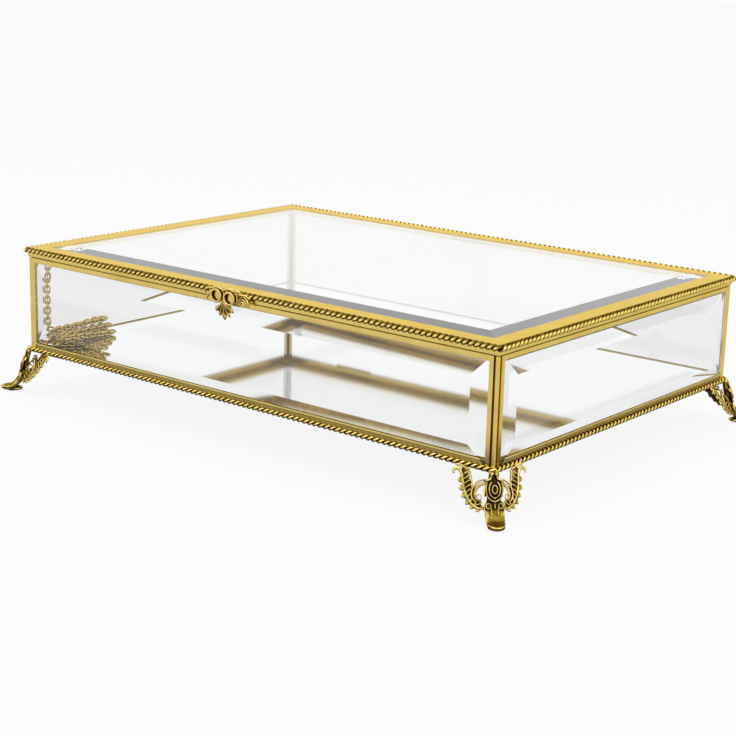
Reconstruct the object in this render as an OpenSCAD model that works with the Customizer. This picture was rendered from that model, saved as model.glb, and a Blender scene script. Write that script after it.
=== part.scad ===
// Glass casket box: bevelled glass walls in brass cames, a mirror floor, a hinged
// glass lid held by a stay chain, rope trim and four cast feet.
// Millimetres.  +X runs along the front, the front faces -Y, +Z is up,
// and the origin is on the table under the middle of the box.

/* [Box] */
// Length of the box over its brass faces
box_w = 300; // [240:1:400]
// Depth of the box over its brass faces
box_d = 208; // [170:1:280]
// Height of the glazed walls
body_h = 50.4; // [44.4:0.2:80]
// Height of the walls' underside over the table
foot_h = 22.2; // [21:0.1:26]
// Gap between the walls and the closed lid
lid_gap = 0.4; // [0.3:0.1:0.8]

/* [Came] */
// Depth of the channel that frames each wall
came_t = 3.6; // [3.6:0.1:3.8]
// Thickness of the channel's two legs
came_leg = 0.6; // [0.4:0.05:0.8]
// Thickness of the channel's web
came_web = 0.6; // [0.4:0.05:0.8]
// Face width of the upright cames
stile_w = 2.2; // [2.1:0.1:4]
// Face height of the top cames
top_rail_h = 2.6; // [2.2:0.1:5]
// Face height of the bottom cames
bottom_rail_h = 4.65; // [4:0.05:6]
// Distance from each corner of the box to the frames beside it
corner_in = 2.6; // [2.6:0.1:2.8]
// Radius of the solder bead that rounds each corner
post_r = 1.05; // [0.9:0.05:1.1]
// Thickness of the solder web behind the bead
post_web_t = 0.8; // [0.5:0.05:0.8]

/* [Glass] */
// Thickness of the glass
glass_t = 4; // [3.6:0.1:5]
// Width of the bevel ground along each edge
bevel_w = 13; // [9:0.5:18]
// Depth of the bevel at the edge
bevel_drop = 2.6; // [1.8:0.1:2.6]
// Thickness of the floor mirror
mirror_t = 3; // [2:0.1:3.2]
// Height of the bottom cames over the mirror
mirror_lip = 0.25; // [0.1:0.05:0.6]
// Width of the strips that carry the mirror
ledge_w = 7; // [4:0.5:15]
// Thickness of the strips that carry the mirror
ledge_t = 0.8; // [0.5:0.1:0.8]
// Clearance of the glass in its channels
glass_gap = 0.1; // [0.05:0.05:0.2]

/* [Lid] */
// Height of the lid's band
lid_h = 4.6; // [4.4:0.1:6]
// Thickness of the lid's brass sheet
sheet_t = 0.8; // [0.6:0.05:0.9]
// Width of the flange on top of the lid
flange_w = 9; // [8:0.5:10]
// Height of the inner leg over the band's lower edge
leg_z = 0.7; // [0.5:0.1:0.9]
// Distance from the band's face to the edge of the lid glass
lid_glass_inset = 5; // [3:0.5:5]
// Opening angle at which the stay chain is taut
lid_open = 95; // [90:1:98]

/* [Rope] */
// Radius of the twisted rope over its strands
rope_r = 1.25; // [1.15:0.05:1.25]
// Radius of the rope at the bottom of its grooves
rope_core_r = 0.85; // [0.6:0.05:1]
// Distance between neighbouring grooves
rope_pitch = 3.15; // [3:0.05:5]
// Width of a groove
rope_groove = 0.55; // [0.3:0.05:0.9]
// Angle between the grooves and a square cut
rope_lean = 38; // [20:1:42]
// Distance from the brass face out to the rope's centre
rope_out = 1; // [0.8:0.05:1.1]

/* [Hinges] */
// Distance from the middle of the box to each hinge
hinge_x = 95; // [40:1:100]
// Radius of the hinge barrels
knuckle_r = 1.5; // [1.4:0.05:1.5]
// Radius of the hinge pins
pin_r = 0.6; // [0.4:0.05:0.8]
// Radial clearance of the pins in the barrels
pin_fit = 0.05; // [0.02:0.01:0.1]
// Length of the barrel on the lid
lid_knuckle_l = 10; // [6:0.5:14]
// Length of each barrel on the box
body_knuckle_l = 8; // [5:0.5:12]
// End clearance between the barrels
knuckle_gap = 0.3; // [0.2:0.05:0.5]

/* [Chain] */
// Diameter of the link wire
wire_d = 0.9; // [0.8:0.05:1]
// Clear width inside a link
link_in_w = 1.9; // [1.9:0.05:2]
// Play between one link and the next
link_play = 0.1; // [0.1:0.01:0.15]
// Links in each folded run of the chain
run_links = 9; // [8:1:10]
// Clearance between the folded runs
chain_gap = 0.3; // [0.3:0.05:0.5]
// Distance from the left face to the nearest run
chain_in = 8.8; // [8.7:0.1:9.5]
// Distance from the front face back to the lid's eyelet
chain_back = 7; // [6.5:0.1:8]

/* [Hidden] */
$fn = 48;
eps = 1;

// Heights
base_z = foot_h;
wall_top_z = base_z + body_h;
lid_z = wall_top_z + lid_gap;
mirror_z = base_z + bottom_rail_h - mirror_lip;
base_rope_sink = 0.25;
base_rope_z = base_z + rope_r - base_rope_sink;
lid_lip = 1.2;
lid_rope_z = lid_z + lid_h - lid_lip - rope_r;

// Side 0 is the front, 1 the right, 2 the back and 3 the left
function is_long(side) = side % 2 == 0;
function side_length(side) = is_long(side) ? box_w : box_d;
function side_offset(side) = (is_long(side) ? box_d : box_w) / 2;
function panel_length(side) = side_length(side) - 2 * corner_in;

// The frames' ends are cut back at 45 degrees, which leaves room for the solder web
mitre_gap = 0.6;
end_depth = corner_in - mitre_gap;
slot_in = came_t - came_leg - end_depth + came_web;

// Puts a piece drawn with its outer face on y = 0, facing -Y, on one side of the box
module on_side(side, z) {
  rotate([0, 0, 90 * side]) translate([0, -side_offset(side), z]) children();
}

// An outline in (y, z) run along X, centred
module along_x(length, outline) {
  rotate([90, 0, 90]) translate([0, 0, -length / 2]) linear_extrude(length) polygon(outline);
}

// A round bar along X, centred
module bar_x(r, length) {
  rotate([0, 90, 0]) cylinder(r = r, h = length, center = true);
}

// A smooth closed curve through the given points
function spline(a, b, c, d, t) =
  (2 * b + (c - a) * t + (2 * a - 5 * b + 4 * c - d) * t * t + (3 * b - a - 3 * c + d) * t * t * t) / 2;
function smooth(pts, steps = 4) = let (n = len(pts))
  [for (i = [0 : n - 1], k = [0 : steps - 1])
    spline(pts[(i + n - 1) % n], pts[i], pts[(i + 1) % n], pts[(i + 2) % n], k / steps)];

// ---- Glass -------------------------------------------------------------------

// A plate with its face on y = 0, facing -Y, and a bevel ground along all four edges
module bevelled_plate(w, h) {
  slope_w = bevel_w * (1 + eps / bevel_drop);
  slope_d = bevel_drop * (1 + eps / bevel_w);
  difference() {
    translate([-w / 2, 0, 0]) cube([w, glass_t, h]);
    for (end = [0, 1]) mirror([end, 0, 0])
      translate([-w / 2, 0, -eps]) linear_extrude(h + 2 * eps)
        polygon([[-eps, -eps], [slope_w, -eps], [-eps, slope_d]]);
    for (edge = [0, 1]) translate([0, 0, edge * h]) mirror([0, 0, edge])
      along_x(w + 2 * eps, [[-eps, -eps], [-eps, slope_w], [slope_d, -eps]]);
  }
}

// The wall glass stands with its back near the channel's inner leg
module wall_glass(side) {
  back = came_t - came_leg - glass_gap;
  side_edge = slot_in + glass_gap;
  edge = came_web + glass_gap;
  color([0.86, 0.94, 0.92, 0.35]) on_side(side, base_z + edge)
    translate([0, back - glass_t, 0])
      bevelled_plate(panel_length(side) - 2 * side_edge, body_h - 2 * edge);
}

module lid_glass() {
  z = lid_z + leg_z + sheet_t + glass_gap / 2 + glass_t;
  color([0.86, 0.94, 0.92, 0.35]) translate([0, -box_d / 2 + lid_glass_inset, z])
    rotate([-90, 0, 0]) bevelled_plate(box_w - 2 * lid_glass_inset, box_d - 2 * lid_glass_inset);
}

module mirror_base() {
  size = [box_w - 2 * (came_t + glass_gap), box_d - 2 * (came_t + glass_gap)];
  color([0.8, 0.83, 0.84]) translate([-size.x / 2, -size.y / 2, mirror_z - mirror_t])
    cube([size.x, size.y, mirror_t]);
}

// ---- Cames -------------------------------------------------------------------

// Mitred outlines of a wall frame's four strips, seen from outside
function strip_outline(l, h, strip) =
  strip == "bottom" ? [[0, 0], [l, 0], [l - stile_w, bottom_rail_h], [stile_w, bottom_rail_h]] :
  strip == "top" ? [[0, h], [l, h], [l - stile_w, h - top_rail_h], [stile_w, h - top_rail_h]] :
  strip == "start" ? [[0, 0], [stile_w, bottom_rail_h], [stile_w, h - top_rail_h], [0, h]] :
  [[l, 0], [l - stile_w, bottom_rail_h], [l - stile_w, h - top_rail_h], [l, h]];

// A wall frame seen from above
function frame_plan(l) = let (cut = came_t - end_depth)
  [[0, 0], [l, 0], [l, end_depth], [l - cut, came_t], [cut, came_t], [0, end_depth]];

// One channel strip of a wall frame, open towards the glass, with mitred ends
module wall_came(side, strip) {
  l = panel_length(side);
  h = body_h;
  color([0.85, 0.65, 0.2]) on_side(side, base_z) translate([-l / 2, 0, 0])
    difference() {
      intersection() {
        translate([0, came_t + eps, 0]) rotate([90, 0, 0]) linear_extrude(came_t + 2 * eps)
          polygon(strip_outline(l, h, strip));
        translate([0, 0, -eps]) linear_extrude(h + 2 * eps) polygon(frame_plan(l));
      }
      translate([slot_in, came_leg, came_web])
        cube([l - 2 * slot_in, came_t - 2 * came_leg, h - 2 * came_web]);
    }
}

// A flat strip along one side, mitred at 45 degrees at both ends; inset is from the face
module mitred_strip(side, inset, width, thick) {
  l = side_length(side) / 2 - inset;
  translate([0, inset, 0]) linear_extrude(thick)
    polygon([[-l, 0], [l, 0], [l - width, width], [width - l, width]]);
}

// Flat strip soldered inside the bottom came, under the mirror's edge
module ledge(side) {
  color([0.75, 0.56, 0.18]) on_side(side, mirror_z - mirror_t - ledge_t)
    mitred_strip(side, came_t, ledge_w, ledge_t);
}

// The lid's band: wall, top flange over the glass and inner leg under it
module lid_came(side) {
  top = lid_h - sheet_t;
  profile = [[0, 0], [sheet_t, 0], [sheet_t, leg_z], [flange_w, leg_z],
    [flange_w, leg_z + sheet_t], [sheet_t, leg_z + sheet_t], [sheet_t, top],
    [flange_w, top], [flange_w, lid_h], [0, lid_h]];
  color([0.85, 0.65, 0.2]) on_side(side, lid_z) intersection() {
    along_x(side_length(side), profile);
    mitred_strip(side, 0, flange_w, lid_h);
  }
}

// Solder bead and web that join two walls along an upright corner
module corner_bead(side) {
  bead_in = post_r + glass_gap;
  square_l = came_t - bead_in;
  h = body_h - 2 * glass_gap;
  color([0.85, 0.65, 0.2]) rotate([0, 0, 90 * side])
    translate([-side_length(side) / 2, -side_offset(side), base_z + glass_gap]) {
      translate([bead_in, bead_in, post_r]) cylinder(r = post_r, h = h - post_r);
      translate([bead_in, bead_in, post_r]) sphere(r = post_r);
      intersection() {
        translate([bead_in, bead_in, post_r]) rotate([0, 0, 45])
          translate([0, -post_web_t / 2, 0]) cube([2 * came_t, post_web_t, h - 2 * post_r]);
        translate([bead_in, bead_in, 0]) cube([square_l, square_l, h]);
      }
    }
}

// ---- Rope --------------------------------------------------------------------

// One straight run of rope, mitred at both ends and flat where it meets the brass
module rope_run(length) {
  overhang = rope_out + rope_r + eps;
  grooves = floor(length / rope_pitch) - 1;
  intersection() {
    difference() {
      translate([0, -rope_out, 0]) bar_x(rope_r, length + 2 * overhang);
      for (i = [0 : grooves - 1])
        translate([(i - (grooves - 1) / 2) * rope_pitch, -rope_out, 0])
          rotate([0, 90 + rope_lean, 0]) rotate_extrude()
            translate([rope_core_r, -rope_groove / 2]) square([eps, rope_groove]);
    }
    translate([0, 0, -rope_r - eps]) linear_extrude(2 * (rope_r + eps))
      polygon([[-length / 2, 0], [length / 2, 0],
        [length / 2 + overhang, -overhang], [-length / 2 - overhang, -overhang]]);
  }
}

// A rope once round the box
module rope(z) {
  color([0.8, 0.6, 0.2]) for (side = [0 : 3]) on_side(side, z) rope_run(side_length(side));
}

// ---- Clasp -------------------------------------------------------------------

// Cast clasp on the front band.  Its points are x from the middle and z over the table,
// drawn for a band of this height on walls of this height, and follow the lid.
clasp_drawn_lid_h = 4.6;
clasp_drawn_lid_z = 73;
clasp_scale = lid_h / clasp_drawn_lid_h;
clasp_t = 2.1;
clasp_y = rope_out + rope_r + glass_gap;
clasp_ring = [[-9.9, 74.3], [-1.4, 73.9]];
clasp_ring_r = 2.7;
clasp_wire_r = 0.95;
clasp_eye_r = 1.35;
clasp_lug_w = 7;
clasp_lug_x = -3;
clasp_boss = [[-18.3, 75, 1.1], [6.6, 74.5, 1.5], [-3.9, 67.2, 2]];
clasp_plate = [[-19.8, 75.1], [-17.6, 76.4], [-14.3, 75.6], [-12.6, 77.6], [-9.6, 78.3],
  [-6.4, 77.3], [-4.6, 78.7], [-2.7, 79.6], [-0.4, 78.4], [2.4, 76.4], [6.3, 76.5],
  [10.7, 74.8], [7, 72.6], [2.8, 72], [0.6, 69.8], [1.8, 67.6], [-1, 66.4], [-3.6, 63],
  [-6.2, 66.4], [-9.9, 67.8], [-8.2, 70], [-10.8, 70.6], [-14.2, 73], [-17.6, 73.6]];
function on_lid(p) = [p[0] * clasp_scale, (p[1] - clasp_drawn_lid_z) * clasp_scale + lid_z];

module clasp() {
  rope_low = lid_rope_z - rope_r - glass_gap;
  rope_high = lid_rope_z + rope_r + glass_gap;
  color([0.8, 0.62, 0.22]) on_side(0, 0) {
    difference() {
      translate([0, -clasp_y, 0]) rotate([90, 0, 0]) linear_extrude(clasp_t)
        polygon(smooth([for (p = clasp_plate) on_lid(p)]));
      for (c = clasp_ring) translate([on_lid(c).x, 0, on_lid(c).y]) rotate([90, 0, 0])
        cylinder(r = clasp_eye_r * clasp_scale, h = 4 * clasp_y);
    }
    for (c = clasp_ring) translate([on_lid(c).x, -clasp_y - clasp_t, on_lid(c).y])
      rotate([90, 0, 0]) rotate_extrude()
        translate([clasp_ring_r * clasp_scale, 0]) circle(r = clasp_wire_r * clasp_scale);
    for (boss = clasp_boss) translate([on_lid(boss).x, -clasp_y - clasp_t, on_lid(boss).y])
      sphere(r = boss[2] * clasp_scale);
    // Lugs that reach the band above and below the rope
    for (lug = [[lid_z, rope_low], [rope_high, lid_z + lid_h - glass_gap]])
      translate([clasp_lug_x - clasp_lug_w / 2, -clasp_y - clasp_t / 2, lug[0]])
        cube([clasp_lug_w, clasp_y + clasp_t / 2, lug[1] - lug[0]]);
  }
}

// ---- Hinges ------------------------------------------------------------------

hinge_y = box_d / 2 + knuckle_gap + knuckle_r;
hinge_drop = 0.6;
hinge_z = wall_top_z - hinge_drop;
bore_r = pin_r + pin_fit;
leaf_t = 0.8;
hinge_l = lid_knuckle_l + 2 * (knuckle_gap + body_knuckle_l);
pin_head_r = 1;
pin_head_t = 0.5;

// A barrel of the given length, bored for the pin
module knuckle_bore(length) {
  bar_x(bore_r, length + 2 * eps);
}

module hinge_body_leaf(x) {
  low = wall_top_z - top_rail_h - leaf_t;
  below_lid_barrel = hinge_z - knuckle_r - knuckle_gap;
  color([0.8, 0.6, 0.2]) translate([x, 0, 0]) difference() {
    union() {
      translate([-hinge_l / 2, box_d / 2, low]) cube([hinge_l, leaf_t, below_lid_barrel - low]);
      for (end = [-1, 1]) translate([end * (hinge_l - body_knuckle_l) / 2, 0, 0]) {
        translate([0, hinge_y, hinge_z]) bar_x(knuckle_r, body_knuckle_l);
        translate([-body_knuckle_l / 2, box_d / 2, low])
          cube([body_knuckle_l, leaf_t, hinge_z - low]);
      }
    }
    translate([0, hinge_y, hinge_z]) knuckle_bore(hinge_l);
  }
}

module hinge_lid_leaf(x) {
  top = lid_rope_z - rope_r - glass_gap / 2;
  color([0.8, 0.6, 0.2]) translate([x, 0, 0]) difference() {
    union() {
      translate([0, hinge_y, hinge_z]) bar_x(knuckle_r, lid_knuckle_l);
      translate([-lid_knuckle_l / 2, hinge_y - knuckle_r, hinge_z])
        cube([lid_knuckle_l, leaf_t, top - hinge_z]);
      translate([-lid_knuckle_l / 2, box_d / 2, lid_z])
        cube([lid_knuckle_l, knuckle_gap + leaf_t / 2, top - lid_z]);
    }
    translate([0, hinge_y, hinge_z]) knuckle_bore(lid_knuckle_l);
  }
}

module hinge_pin(x) {
  color([0.7, 0.55, 0.25]) translate([x, hinge_y, hinge_z]) {
    bar_x(pin_r, hinge_l + 2 * pin_head_t);
    for (end = [-1, 1]) translate([end * (hinge_l + pin_head_t) / 2, 0, 0])
      bar_x(pin_head_r, pin_head_t);
  }
}

// ---- Stay chain --------------------------------------------------------------

// The chain is folded over the mirror in runs that lie side by side and in three
// layers, and a strand hangs from the lid.  At each fold a cross bar joins two runs.
// The pitch makes the chain taut when the lid is open.  Points are (y, z).
wire_r = wire_d / 2;
link_mid_r = (link_in_w + wire_d) / 2;
link_tilt = 45;
link_half = link_mid_r * sin(link_tilt) + wire_r;
hook_in = wire_r + link_play / 2;
link_reach = 2 * hook_in + wire_r;
runs = 8;
run_layer = [0, 0, 0, 0, 1, 1, 1, 2, 2];
run_lane = [0, 1, 2, 3, 2, 1, 0, 1, 0];
lane_w = 2 * link_half + chain_gap;
layer_h = lane_w;
staple_half = link_half + chain_gap + wire_r;
first_lane_w = staple_half + wire_r + lane_w - link_half;
function lane_x(lane) = -box_w / 2 + chain_in + (lane == 0 ? 0 : first_lane_w + (lane - 1) * lane_w);
mirror_gap = 0.2;
layer_z = mirror_z + mirror_gap + link_half;
chain_y = chain_back - box_d / 2;
hinge_axis = [hinge_y, hinge_z];
staple_bend_r = 0.7;
staple_pad_w = 2 * (staple_half + wire_r) + link_play;
staple_pad_t = 0.7;
staple_pad_l = 2.4;
eye_top_z = lid_z + leg_z - staple_pad_t - mirror_gap - link_reach;

function turned(v, angle) = [cos(angle) * v.x - sin(angle) * v.y, sin(angle) * v.x + cos(angle) * v.y];
function chain_length(links, p) = links * p - 2 * hook_in;
function run_rise(i) = (run_layer[i + 1] - run_layer[i]) * layer_h;
function run_step(i, p) =
  (i % 2 == 0 ? 1 : -1) * sqrt(pow(chain_length(run_links, p), 2) - pow(run_rise(i), 2));
function steps_to(i, p) = i == 0 ? 0 : steps_to(i - 1, p) + run_step(i - 1, p);
function pivot(i, p) = [chain_y - steps_to(runs, p) + steps_to(i, p), layer_z + run_layer[i] * layer_h];
function lid_eye(links, p) = pivot(runs, p) + [0, chain_length(links, p)];
function lid_eye_open(links, p) = hinge_axis + turned(lid_eye(links, p) - hinge_axis, -lid_open);
function taut_pitch(links, p, tries) = tries == 0 ? p :
  taut_pitch(links, (norm(lid_eye_open(links, p) - pivot(0, p)) + 2 * hook_in * (runs + 1))
    / (runs * run_links + links), tries - 1);
function rounded_pitch(links) = round(taut_pitch(links, 4, 30) * 1000) / 1000;
// As many links in the strand as leave room for the lid's staple
function fitting_links(links) =
  links == 1 || lid_eye(links, rounded_pitch(links)).y < eye_top_z ? links : fitting_links(links - 1);
strand_links = fitting_links(run_links + 8);
pitch = rounded_pitch(strand_links);
link_straight = pitch + link_play - link_in_w;

// One link lying along Y
module link() {
  for (end = [0, 1]) mirror([0, end, 0]) translate([0, link_straight / 2, 0])
    rotate_extrude(angle = 180) translate([link_mid_r, 0]) circle(r = wire_r, $fn = 24);
  for (bar = [-1, 1]) translate([bar * link_mid_r, 0, 0]) rotate([90, 0, 0])
    cylinder(r = wire_r, h = link_straight, center = true, $fn = 24);
}

// Links from one pivot towards the next, each turned a quarter from the last
module links(lane, from, to, count) {
  heading = atan2(to.y - from.y, to.x - from.x);
  translate([lane_x(lane), from.x, from.y]) rotate([heading, 0, 0])
    for (i = [0 : count - 1]) translate([0, (i + 0.5) * pitch - hook_in, 0])
      rotate([0, i % 2 == 0 ? link_tilt : -link_tilt, 0]) link();
}

// A run from its own pivot to the cross bar on which the next one turns
module chain_run(i) {
  start = lane_x(run_lane[i - 1]);
  end = lane_x(run_lane[i]);
  color([0.78, 0.6, 0.25]) {
    links(run_lane[i - 1], pivot(i - 1, pitch), pivot(i, pitch), run_links);
    translate([(start + end) / 2, pivot(i, pitch).x, pivot(i, pitch).y])
      bar_x(wire_r, abs(end - start) + wire_d + chain_gap);
  }
}

module chain_strand() {
  color([0.78, 0.6, 0.25])
    links(run_lane[runs], pivot(runs, pitch), lid_eye(strand_links, pitch), strand_links);
}

// A wire staple: a bar along X through the origin with two legs along +Z
module staple(leg) {
  bar_x(wire_r, 2 * (staple_half - staple_bend_r));
  for (end = [0, 1]) mirror([end, 0, 0]) {
    translate([staple_half - staple_bend_r, 0, staple_bend_r]) rotate([90, 90, 0])
      rotate_extrude(angle = 90) translate([staple_bend_r, 0]) circle(r = wire_r);
    translate([staple_half, 0, staple_bend_r]) cylinder(r = wire_r, h = leg - staple_bend_r);
  }
}

// Staple on the front came's inner leg, where the chain starts
module chain_box_eyelet() {
  eye = pivot(0, pitch);
  seat_y = -box_d / 2 + came_t;
  seat_z = base_z + bottom_rail_h;
  color([0.8, 0.62, 0.25]) {
    translate([lane_x(0), eye.x, eye.y]) rotate([90, 0, 0]) staple(eye.x - seat_y);
    translate([lane_x(0) - staple_pad_w / 2, seat_y - came_leg, seat_z])
      cube([staple_pad_w, came_leg + staple_pad_t, eye.y - seat_z - wire_r / 2]);
  }
}

// Staple under the lid's inner leg, where the chain ends
module chain_lid_eyelet() {
  eye = lid_eye(strand_links, pitch);
  seat_z = lid_z + leg_z;
  color([0.8, 0.62, 0.25]) {
    translate([lane_x(0), eye.x, eye.y]) staple(seat_z - staple_pad_t / 2 - eye.y);
    translate([lane_x(0) - staple_pad_w / 2, eye.x - staple_pad_l / 2, seat_z - staple_pad_t])
      cube([staple_pad_w, staple_pad_l, staple_pad_t]);
  }
}

// ---- Feet --------------------------------------------------------------------

// A cast cabriole foot, drawn about the box corner at the origin with the box towards
// +X and +Y.  It is drawn for this height and follows foot_h.
foot_drawn_h = 22.2;
foot_scale = foot_h / foot_drawn_h;
wing_t = 2.2 * foot_scale;
wing_root = [2.5, 2.5, 11] * foot_scale;
wing_sweep = 30.5;
wing_lean = 29;
plate_l = 24 * foot_scale;
plate_t = 0.8;
core_w = 9 * foot_scale;
toe_out = 16 * foot_scale;
eye_r = 1.4 * foot_scale;
wing_outline = [[-1, -5], [0.6, -5.3], [3.5, -5.1], [5.6, -4.4], [7.8, -2.9], [9.8, -0.8],
  [11.8, 2.3], [13.1, 5.5], [14.7, 8.9], [17.6, 9.8], [18.1, 10.8], [16.6, 11.5], [12, 11.5],
  [6, 11.5], [1, 11.5], [0, 10], [-1, 3]];
wing_big_hole = [[3.1, 10.5], [3.7, 9.4], [3.9, 7.6], [6.1, 6.3], [7.3, 4.9], [8.4, 7.5],
  [9.7, 10], [8, 10.6], [5, 10.7]];
wing_small_hole = [[3.9, 3.6], [4.7, 2.8], [4.4, 1], [3.3, 0.9], [2.3, 2.3]];
wing_leaf = [[5.6, -3.6, 1.5], [8.2, -1.9, 1.5], [10.4, 0.6, 1.4], [12, 3.6, 1.4], [13.4, 6.8, 1.3]];
leg_profile = [[-0.6, 21.9], [1.9, 21.9], [1.8, 20.1], [2.8, 16.2], [3.7, 13.9], [3.6, 11.4],
  [4.3, 9.4], [5.4, 6.1], [7.8, 4.5], [10.7, 3.4], [11.3, 2.4], [10.4, 0.9], [9.2, 0],
  [7.2, 0], [6, 1.4], [3.9, 3.4], [2.3, 4], [0.8, 5.9], [-0.6, 8.4]];
leg_half_w = [[3.2, 0], [3.9, 1.5], [4.2, 5], [4.1, 7], [3.5, 8.6], [3.9, 13], [3.7, 17.4],
  [2.2, 19.4], [1.2, 20.6], [1.6, 22]];
knee = [3.1, 14.6, 2.6];
scroll_eye = [[3.2, 8.6, 5.6], [2.8, 18.2, 3.4]];

// One openwork wing beside the leg, swept back from it and leaning back under the box
module foot_wing() {
  translate(wing_root) rotate([0, 0, 90 + wing_sweep]) rotate([90 - wing_lean, 0, 0])
    linear_extrude(wing_t, center = true) difference() {
      union() {
        polygon(smooth(wing_outline * foot_scale));
        for (leaf = wing_leaf * foot_scale) translate([leaf[0], leaf[1]]) circle(r = leaf[2], $fn = 24);
      }
      polygon(smooth(wing_big_hole * foot_scale));
      polygon(smooth(wing_small_hole * foot_scale));
    }
}

// The leg on the diagonal, its side outline cut by its front outline.  The side outline
// is drawn along one face of the box, so it is longer on the diagonal.
module foot_leg() {
  side = [for (p = leg_profile * foot_scale) [p[0] * sqrt(2), p[1]]];
  half = leg_half_w * foot_scale;
  n = len(half);
  front = concat(half, [for (i = [n - 1 : -1 : 0]) [-half[i][0], half[i][1]]]);
  rotate([0, 0, -135]) {
    intersection() {
      translate([0, core_w / 2, 0]) rotate([90, 0, 0]) linear_extrude(core_w) polygon(side);
      rotate([90, 0, 90]) translate([0, 0, -core_w]) linear_extrude(toe_out + 2 * core_w) polygon(front);
      translate([0, 0, -eps]) linear_extrude(foot_h + eps) {
        translate([-eps - core_w / 2, -core_w / 2]) square([toe_out + eps, core_w]);
        translate([toe_out - core_w / 2, 0]) circle(r = core_w / 2);
      }
    }
    // Oval boss on the knee, and the eyes of the scrolls beside it
    translate([knee[0], 0, knee[1]] * foot_scale) sphere(r = knee[2] * foot_scale);
    for (s = [-1, 1], eye = scroll_eye * foot_scale) translate([0, s * eye[0], eye[1]])
      rotate([0, 90, 0]) cylinder(r = eye_r, h = eye[2]);
  }
}

// A foot under one corner; the signs say towards which corner it points
module foot(sx, sy) {
  color([0.72, 0.55, 0.2]) translate([sx * box_w / 2, sy * box_d / 2, 0])
    mirror([sx > 0 ? 1 : 0, 0, 0]) mirror([0, sy > 0 ? 1 : 0, 0]) {
      foot_leg();
      rotate([0, 0, -135]) for (s = [0, 1]) mirror([0, s, 0]) foot_wing();
      for (along = [[plate_l, came_t], [came_t, plate_l]])
        translate([0, 0, base_z - plate_t]) cube([along[0], along[1], plate_t]);
    }
}

// ---- Assembly ----------------------------------------------------------------

mirror_base();
ledge(0);  // ledge_front
ledge(1);  // ledge_right
ledge(2);  // ledge_back
ledge(3);  // ledge_left
wall_glass(0);  // front_glass
wall_glass(1);  // right_glass
wall_glass(2);  // back_glass
wall_glass(3);  // left_glass
lid_glass();
wall_came(0, "bottom");  // front_bottom_came
wall_came(0, "top");  // front_top_came
wall_came(0, "start");  // front_left_came
wall_came(0, "end");  // front_right_came
wall_came(1, "bottom");  // right_bottom_came
wall_came(1, "top");  // right_top_came
wall_came(1, "start");  // right_front_came
wall_came(1, "end");  // right_back_came
wall_came(2, "bottom");  // back_bottom_came
wall_came(2, "top");  // back_top_came
wall_came(2, "start");  // back_right_came
wall_came(2, "end");  // back_left_came
wall_came(3, "bottom");  // left_bottom_came
wall_came(3, "top");  // left_top_came
wall_came(3, "start");  // left_back_came
wall_came(3, "end");  // left_front_came
corner_bead(0);  // corner_bead_front_left
corner_bead(1);  // corner_bead_front_right
corner_bead(2);  // corner_bead_back_right
corner_bead(3);  // corner_bead_back_left
foot(-1, -1);  // foot_front_left
foot(1, -1);  // foot_front_right
foot(1, 1);  // foot_back_right
foot(-1, 1);  // foot_back_left
rope(base_rope_z);  // base_rope
rope(lid_rope_z);  // lid_rope
lid_came(0);  // lid_front_came
lid_came(1);  // lid_right_came
lid_came(2);  // lid_back_came
lid_came(3);  // lid_left_came
clasp();
hinge_body_leaf(-hinge_x);  // left_hinge_body_leaf
hinge_lid_leaf(-hinge_x);  // left_hinge_lid_leaf
hinge_pin(-hinge_x);  // left_hinge_pin
hinge_body_leaf(hinge_x);  // right_hinge_body_leaf
hinge_lid_leaf(hinge_x);  // right_hinge_lid_leaf
hinge_pin(hinge_x);  // right_hinge_pin
chain_box_eyelet();
chain_lid_eyelet();
chain_run(1);  // chain_run_1
chain_run(2);  // chain_run_2
chain_run(3);  // chain_run_3
chain_run(4);  // chain_run_4
chain_run(5);  // chain_run_5
chain_run(6);  // chain_run_6
chain_run(7);  // chain_run_7
chain_run(8);  // chain_run_8
chain_strand();
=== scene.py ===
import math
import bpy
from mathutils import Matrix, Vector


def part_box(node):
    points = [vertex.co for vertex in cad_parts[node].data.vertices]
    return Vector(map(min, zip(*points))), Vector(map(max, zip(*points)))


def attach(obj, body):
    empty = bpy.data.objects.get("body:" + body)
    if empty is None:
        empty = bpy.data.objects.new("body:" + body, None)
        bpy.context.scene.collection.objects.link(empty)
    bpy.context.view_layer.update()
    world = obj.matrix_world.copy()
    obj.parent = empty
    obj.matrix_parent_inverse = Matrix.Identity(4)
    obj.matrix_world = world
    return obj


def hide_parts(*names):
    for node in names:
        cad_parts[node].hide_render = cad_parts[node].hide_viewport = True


bl_info = {
    "name": "Glass Casket Box",
    "version": (1, 0, 0),
    "blender": (4, 5, 0),
    "location": "View3D > Sidebar > Casket",
    "description": "Bevelled glass, brass cames, rope trim, cast feet, clasp and chain of a casket box",
    "category": "Object",
}

import bmesh
import bpy
import numpy as np
from mathutils import Matrix, Vector

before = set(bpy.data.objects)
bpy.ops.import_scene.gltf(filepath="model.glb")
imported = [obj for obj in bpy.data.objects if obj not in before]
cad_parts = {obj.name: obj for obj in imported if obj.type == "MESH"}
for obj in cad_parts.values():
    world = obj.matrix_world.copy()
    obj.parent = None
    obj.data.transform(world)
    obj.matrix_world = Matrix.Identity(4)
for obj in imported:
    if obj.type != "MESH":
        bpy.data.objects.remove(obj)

MM = 0.001
SIDES = ("front", "right", "back", "left")
CORNERS = {
    "front_left": (-1, -1),
    "front_right": (1, -1),
    "back_right": (1, 1),
    "back_left": (-1, 1),
}


# ---- Sizes worked out from the frame, in millimetres ----------------------------


def box_mm(node):
    """A node's lowest and highest corners at rest, in millimetres."""
    low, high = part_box(node)
    return np.array(low) / MM, np.array(high) / MM


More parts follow.
